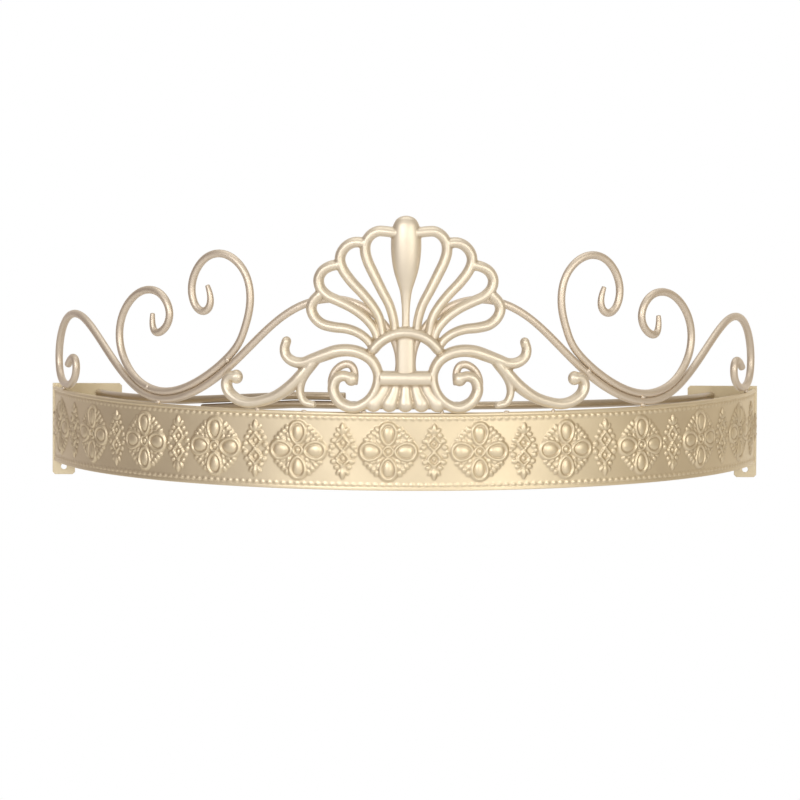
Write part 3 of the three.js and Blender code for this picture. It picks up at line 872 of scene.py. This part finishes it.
# Curtain rods
CURTAIN_ROD = 6.5
CURTAIN_ROD_INSET = 38
CURTAIN_ROD_FRONT_RISE = 2.6
CURTAIN_ROD_WALL_DROP = 6.2
ROD_LAP_FROM_CENTRE = 57
ROD_LAP_LENGTH = 150
ROD_LAP_GAP = 0.6
ROD_CLIMB_FROM_CENTRE = 107
ROD_CLIMB_LENGTH = 130
CURTAIN_ROD_PLACES = 400
CURTAIN_ROD_STEP = 1.8


def make_curtain_rod(name, side, free_end, climbs, node):
    """A rod that runs inside the band from the wall to its free end, over or under the other."""
    radius = BAND_RADIUS - CURTAIN_ROD_INSET
    fall = CURTAIN_ROD_FRONT_RISE + CURTAIN_ROD_WALL_DROP
    wall_angle = arc_to_plates(CURTAIN_ROD_INSET + CURTAIN_ROD / 2) / BAND_RADIUS
    angle = np.linspace(wall_angle, free_end / BAND_RADIUS, CURTAIN_ROD_PLACES)
    behind = (1 - np.cos(angle)) / (1 - math.cos(wall_angle))
    step = CURTAIN_ROD + ROD_LAP_GAP
    dipped = np.clip((np.abs(angle * BAND_RADIUS) - ROD_CLIMB_FROM_CENTRE) / ROD_CLIMB_LENGTH, 0, 1)
    up = BAND_HEIGHT + CURTAIN_ROD_FRONT_RISE - fall * behind
    if climbs:
        up += step * (1 - dipped)
    else:
        up -= step * np.where(angle < 0, dipped, 0)
    path = np.stack([side * radius * np.sin(angle), ARC_CENTRE_Y - radius * np.cos(angle), up], 1)
    path = evenly(path, CURTAIN_ROD_STEP)
    radii = np.full(len(path), CURTAIN_ROD / 2)
    places, faces = rod_skin(path, radii, depth_axis=(0, 0, 1), roundness=CUT_END)
    mesh_piece(name, places, faces, [node], "inner_paint")


# Wall plates
SAME_PLACE = 0.02
BROKEN_EDGE = 0.45
SHARP_EDGE_DEGREES = 50


def make_plate(name, node):
    """The flat solid again with its edges broken."""
    rough = put(name + "_flat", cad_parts[node].data.copy())
    merge = rough.modifiers.new("merge", "WELD")
    merge.merge_threshold = SAME_PLACE * MM
    soften = rough.modifiers.new("edges", "BEVEL")
    soften.width = BROKEN_EDGE * MM
    soften.segments = 2
    soften.limit_method = "ANGLE"
    soften.angle_limit = math.radians(SHARP_EDGE_DEGREES)
    skin = worked(rough)
    mesh_piece(name, read_places(skin) / MM, read_faces(skin), [node], "plate_paint", smooth=False)


# Drops of weld: place along the band, height above the rim, and half sizes
WELD_SPOTS = [
    (-225, 1.2, (2.6, 1.9, 1.7)), (-238, 12.9, (2.2, 1.6, 2.0)), (-153, 39.4, (2.3, 1.6, 2.2)),
    (-382, 1.0, (3.0, 1.9, 1.4)), (-125, -0.2, (2.2, 1.4, 1.5)), (-34, 0.4, (2.2, 1.4, 1.5)),
    (214, 1.0, (2.6, 1.9, 1.7)), (214.5, 7.4, (2.4, 1.7, 1.6)), (158, 31.4, (2.3, 1.6, 2.4)),
    (382, 1.0, (3.0, 1.9, 1.4)), (125, -0.4, (1.8, 1.4, 1.8)), (30, 0.3, (1.8, 1.4, 1.9)),
    (-84, -0.3, (2.4, 1.4, 1.4)), (84, -0.3, (2.4, 1.4, 1.4)),
]
WELD_DEPTH = 1.0
WELD_UNEVEN_SHARE = 0.12


def weld_skin(centre, size, seed):
    """A small uneven drop of weld."""
    work = bmesh.new()
    bmesh.ops.create_icosphere(work, subdivisions=3, radius=1)
    uneven = np.random.default_rng(seed).uniform(-1, 1, (3, 3))
    places = []
    for vert in work.verts:
        spot = np.array(vert.co)
        wave = 1 + WELD_UNEVEN_SHARE * np.sin(uneven @ spot * 3).sum() / 3
        places.append(spot * wave * np.array(size) + np.array(centre))
    faces = [tuple(vert.index for vert in face.verts) for face in work.faces]
    work.free()
    return np.array(places), faces


def make_welds():
    """Drops of weld where the rods touch the rim, each other and the casting's feet."""
    places, faces = gather(
        weld_skin((along, WELD_DEPTH, BAND_HEIGHT + up), size, seed)
        for seed, (along, up, size) in enumerate(WELD_SPOTS)
    )
    mesh_piece("weld_drops", bend(places), faces, [], "rod_paint")


# Materials
METAL_SHARE = 0.85
CLOUD_SCALE = 34
CLOUD_DARK = 0.93
CLOUD_PALE = 1.06
CLOUD_SMOOTH = -0.05
CLOUD_ROUGH = 0.06
FLAKE_SCALE = 900
FLAKE_STRENGTH = 0.012
FLAKE_DEPTH = 0.0003
# Painted shade: a dark brown mixed into the paint's colour in hollows, where shade falls
PAINTED_SHADE_COLOUR = (0.4, 0.29, 0.17)
PAINTED_SHADE_SHARE = 0.5
PAPER_COLOUR = (0.9, 0.9, 0.9)
PAPER_GLOW_SHARE = 0.75


def add_node(tree, kind, values=(), **settings):
    """A new shader node with its settings and with values for some of its inputs."""
    node = tree.nodes.new(kind)
    for key, value in settings.items():
        setattr(node, key, value)
    for key, value in dict(values).items():
        node.inputs[key].default_value = value
    return node


def shader_tree(material):
    material.use_nodes = True
    tree = material.node_tree
    return tree, tree.nodes["Principled BSDF"]


def paint_colour(tree, colour, cloud):
    """The paint's colour, a little cloudy, with painted shade that darkens it in hollows."""
    dark = (*[c * CLOUD_DARK for c in colour], 1)
    pale = (*[min(1, c * CLOUD_PALE) for c in colour], 1)
    tone = add_node(tree, "ShaderNodeMix", {"A": dark, "B": pale}, data_type="RGBA")
    tree.links.new(cloud, tone.inputs["Factor"])
    # Painted shade: the shade mark pulls the colour towards the dark brown in hollows
    hollow = add_node(tree, "ShaderNodeAttribute", attribute_name="shade")
    depth = add_node(tree, "ShaderNodeMath", {1: PAINTED_SHADE_SHARE}, operation="MULTIPLY")
    tree.links.new(hollow.outputs["Fac"], depth.inputs[0])
    into = add_node(tree, "ShaderNodeMix", {"B": (*PAINTED_SHADE_COLOUR, 1)}, data_type="RGBA")
    tree.links.new(depth.outputs[0], into.inputs["Factor"])
    tree.links.new(tone.outputs["Result"], into.inputs["A"])
    return into.outputs["Result"]


def satin_paint(name, colour, roughness):
    """Gold metallic paint: a soft metal sheen, fine flake, cloudy tone and painted shade in hollows."""
    material = bpy.data.materials.new(name)
    tree, shader = shader_tree(material)
    shader.inputs["Metallic"].default_value = METAL_SHARE
    shader.inputs["IOR"].default_value = 1.5
    place = add_node(tree, "ShaderNodeTexCoord").outputs["Object"]

    cloud = add_node(tree, "ShaderNodeTexNoise", {"Scale": CLOUD_SCALE, "Detail": 3})
    tree.links.new(place, cloud.inputs["Vector"])
    tree.links.new(paint_colour(tree, colour, cloud.outputs["Fac"]), shader.inputs["Base Color"])
    limits = {"To Min": roughness + CLOUD_SMOOTH, "To Max": roughness + CLOUD_ROUGH}
    gloss = add_node(tree, "ShaderNodeMapRange", limits)
    tree.links.new(cloud.outputs["Fac"], gloss.inputs["Value"])
    tree.links.new(gloss.outputs["Result"], shader.inputs["Roughness"])

    flake = add_node(tree, "ShaderNodeTexNoise", {"Scale": FLAKE_SCALE, "Detail": 2})
    tree.links.new(place, flake.inputs["Vector"])
    grain = add_node(tree, "ShaderNodeBump", {"Strength": FLAKE_STRENGTH, "Distance": FLAKE_DEPTH})
    tree.links.new(flake.outputs["Fac"], grain.inputs["Height"])
    tree.links.new(grain.outputs["Normal"], shader.inputs["Normal"])
    return material


def paper(name):
    """Matt paper that is nearly white where the camera looks at it and still takes a shadow."""
    material = bpy.data.materials.new(name)
    tree, shader = shader_tree(material)
    shader.inputs["Base Color"].default_value = (*PAPER_COLOUR, 1)
    shader.inputs["Roughness"].default_value = 0.9
    white = add_node(tree, "ShaderNodeEmission")
    rays = add_node(tree, "ShaderNodeLightPath")
    share = add_node(tree, "ShaderNodeMath", {1: PAPER_GLOW_SHARE}, operation="MULTIPLY")
    mix = add_node(tree, "ShaderNodeMixShader")
    tree.links.new(rays.outputs["Is Camera Ray"], share.inputs[0])
    tree.links.new(share.outputs[0], mix.inputs["Fac"])
    tree.links.new(shader.outputs[0], mix.inputs[1])
    tree.links.new(white.outputs[0], mix.inputs[2])
    tree.links.new(mix.outputs[0], tree.nodes["Material Output"].inputs["Surface"])
    return material


PAINTS = {
    "band_paint": satin_paint("band_gold", (0.765, 0.665, 0.475), 0.43),
    "rod_paint": satin_paint("rod_gold", (0.725, 0.64, 0.525), 0.45),
    "casting_paint": satin_paint("casting_gold", (0.785, 0.71, 0.575), 0.46),
    # Painted shade: the curtain rods behind the band get a darker copy of the same gold, for the shade
    # they lie in
    "inner_paint": satin_paint("inner_gold_painted_shade", (0.52, 0.44, 0.33), 0.4),
    # Painted shade: the wall plates get a darker copy of the same gold, for the shade they stand in
    "plate_paint": satin_paint("plate_gold_painted_shade", (0.66, 0.58, 0.41), 0.42),
}


# Stage, light and camera, in metres. The room's brightness goes from the camera's side to behind
# the crown.
FLOOR_LEVEL = -0.9
FLOOR_REACH = 5
FLOOR_BACK = 1.8
ROOM_STOPS = [
    (0.0, (0.86, 0.86, 0.87)), (0.14, (0.75, 0.75, 0.76)), (0.32, (0.43, 0.385, 0.325)),
    (0.5, (0.26, 0.215, 0.175)), (0.68, (0.36, 0.32, 0.28)), (0.86, (0.64, 0.61, 0.59)),
    (1.0, (0.74, 0.73, 0.72)),
]
# The room's tint on the left and on the right
LEFT_TINT = (0.81, 0.75, 0.8, 1)
RIGHT_TINT = (1.38, 1.32, 1.18, 1)
# The room above, and the heights of a direction between which it fades in
OVERHEAD = (0.58, 0.54, 0.5, 1)
OVERHEAD_FROM = 0.25
OVERHEAD_TO = 0.9
# How straight back a direction is where the metal starts to see the white background
BACKGROUND_FROM = 0.9
BACKGROUND_TO = 0.98
# Lamps: place, the place they point at, size, watts and colour
LAMPS = {
    "key": ((-1.1, -2.8, 0.95), (0, -0.15, 0.1), (1.7, 1.4), 25, (1, 1, 1)),
    "fill": ((1.5, -2.6, 0.6), (0, -0.15, 0.1), (1.4, 1.4), 15, (1, 0.97, 0.92)),
    "top": ((0, 0.0, 2.2), (0, -0.1, 0.1), (2.0, 1.4), 9, (1, 1, 1)),
}


def make_stage():
    """A pale floor below the crown, out of the picture; the room behind it is white to the camera."""
    mesh = bpy.data.meshes.new("floor")
    front = -FLOOR_REACH
    corners = [
        (-FLOOR_REACH, front, 0), (FLOOR_REACH, front, 0),
        (FLOOR_REACH, FLOOR_BACK, 0), (-FLOOR_REACH, FLOOR_BACK, 0),
    ]
    mesh.from_pydata(corners, [], [(0, 1, 2, 3)])
    mesh.materials.append(paper("floor_paper"))
    floor = put("floor", mesh)
    floor.location.z = FLOOR_LEVEL


def room_colour(tree, split):
    """The room's colour in a direction, which split takes apart."""
    depth = add_node(tree, "ShaderNodeMapRange", {"From Min": -1})
    tree.links.new(split.outputs["Y"], depth.inputs["Value"])
    ramp = add_node(tree, "ShaderNodeValToRGB")
    ramp.color_ramp.interpolation = "EASE"
    stops = ramp.color_ramp.elements
    for place, colour in ROOM_STOPS:
        stops.new(place).color = (*colour, 1)
    stops.remove(stops[0])
    stops.remove(stops[-1])
    tree.links.new(depth.outputs["Result"], ramp.inputs["Fac"])

    across = add_node(tree, "ShaderNodeMapRange", {"From Min": -1})
    tree.links.new(split.outputs["X"], across.inputs["Value"])
    tint = add_node(tree, "ShaderNodeMix", {"A": LEFT_TINT, "B": RIGHT_TINT}, data_type="RGBA")
    tree.links.new(across.outputs["Result"], tint.inputs["Factor"])
    both = add_node(tree, "ShaderNodeMix", {"Factor": 1}, data_type="RGBA", blend_type="MULTIPLY")
    tree.links.new(ramp.outputs["Color"], both.inputs["A"])
    tree.links.new(tint.outputs["Result"], both.inputs["B"])

    heights = {"From Min": OVERHEAD_FROM, "From Max": OVERHEAD_TO}
    above = add_node(tree, "ShaderNodeMapRange", heights)
    tree.links.new(split.outputs["Z"], above.inputs["Value"])
    lift = add_node(tree, "ShaderNodeMix", {"B": OVERHEAD}, data_type="RGBA")
    tree.links.new(above.outputs["Result"], lift.inputs["Factor"])
    tree.links.new(both.outputs["Result"], lift.inputs["A"])
    return lift.outputs["Result"]


def background_share(tree, split):
    """How white the room is: fully to the camera, and to the metal where it mirrors the background."""
    rays = add_node(tree, "ShaderNodeLightPath")
    mirrored = add_node(tree, "ShaderNodeMath", operation="MAXIMUM")
    tree.links.new(rays.outputs["Is Glossy Ray"], mirrored.inputs[0])
    tree.links.new(rays.outputs["Is Transmission Ray"], mirrored.inputs[1])
    limits = {"From Min": BACKGROUND_FROM, "From Max": BACKGROUND_TO}
    behind = add_node(tree, "ShaderNodeMapRange", limits)
    tree.links.new(split.outputs["Y"], behind.inputs["Value"])
    backdrop = add_node(tree, "ShaderNodeMath", operation="MULTIPLY")
    tree.links.new(mirrored.outputs[0], backdrop.inputs[0])
    tree.links.new(behind.outputs["Result"], backdrop.inputs[1])
    seen = add_node(tree, "ShaderNodeMath", operation="MAXIMUM")
    tree.links.new(rays.outputs["Is Camera Ray"], seen.inputs[0])
    tree.links.new(backdrop.outputs[0], seen.inputs[1])
    return seen.outputs[0]


def make_world():
    """A room that is dim at both sides, with a white background, which the camera and the metal see."""
    world = bpy.data.worlds.new("room")
    bpy.context.scene.world = world
    world.use_nodes = True
    tree = world.node_tree
    sky = tree.nodes["Background"]
    heading = add_node(tree, "ShaderNodeTexCoord")
    split = add_node(tree, "ShaderNodeSeparateXYZ")
    tree.links.new(heading.outputs["Generated"], split.inputs[0])
    tree.links.new(room_colour(tree, split), sky.inputs["Color"])
    white = add_node(tree, "ShaderNodeBackground", {"Color": (1, 1, 1, 1)})
    mix = add_node(tree, "ShaderNodeMixShader")
    tree.links.new(background_share(tree, split), mix.inputs["Fac"])
    tree.links.new(sky.outputs[0], mix.inputs[1])
    tree.links.new(white.outputs[0], mix.inputs[2])
    tree.links.new(mix.outputs[0], tree.nodes["World Output"].inputs["Surface"])


def make_lamps():
    for name, (place, target, size, watts, colour) in LAMPS.items():
        light = bpy.data.lights.new(name, "AREA")
        light.shape = "RECTANGLE"
        light.size = size[0]
        light.size_y = size[1]
        light.energy = watts
        light.color = colour
        lamp = put(name, light)
        lamp.location = place
        lamp.rotation_euler = (Vector(target) - Vector(place)).to_track_quat("-Z", "Y").to_euler()


def make_camera():
    """The photographer's place: far away, a little above the crown and almost square to the wall."""
    place = Vector((-11.6, -5581, 541.9)) * MM
    yaw = -0.00135
    pitch = 0.08746
    roll = -0.00455
    focal_pixels = 6572.8
    frame_pixels = 800
    level = Vector((math.cos(yaw), math.sin(yaw), 0))
    ahead = Vector((-math.sin(yaw), math.cos(yaw), 0))
    above = Vector((0, 0, 1))
    forward = ahead * math.cos(pitch) - above * math.sin(pitch)
    up = ahead * math.sin(pitch) + above * math.cos(pitch)
    right = level * math.cos(roll) - up * math.sin(roll)
    up = level * math.sin(roll) + up * math.cos(roll)
    lens = bpy.data.cameras.new("camera")
    lens.sensor_width = 36
    lens.lens = focal_pixels / frame_pixels * lens.sensor_width
    lens.clip_start = 0.1
    lens.clip_end = 100
    camera = put("camera", lens)
    camera.matrix_world = Matrix((
        (right.x, up.x, -forward.x, place.x),
        (right.y, up.y, -forward.y, place.y),
        (right.z, up.z, -forward.z, place.z),
        (0, 0, 0, 1),
    ))
    bpy.context.scene.camera = camera


make_camera()
make_lamps()
make_world()
make_stage()

make_band()
make_casting()
make_welds()
for word, side in (("left", -1), ("right", 1)):
    make_scroll(f"outer_rod_{word}", outer_points(side), f"outer_scroll_{word}", OUTER_TAPER)
    make_scroll(f"lyre_rod_{word}", lyre_points(side), f"lyre_scroll_{word}", LYRE_TAPER)
    make_plate(f"plate_{word}", f"wall_plate_{word}")
lap_far = -(ROD_LAP_FROM_CENTRE + ROD_LAP_LENGTH)
make_curtain_rod("inner_rod_right", 1, lap_far, False, "curtain_rod_right")
make_curtain_rod("inner_rod_left", -1, ROD_LAP_FROM_CENTRE, True, "curtain_rod_left")

bpy.context.scene.view_settings.view_transform = "Standard"
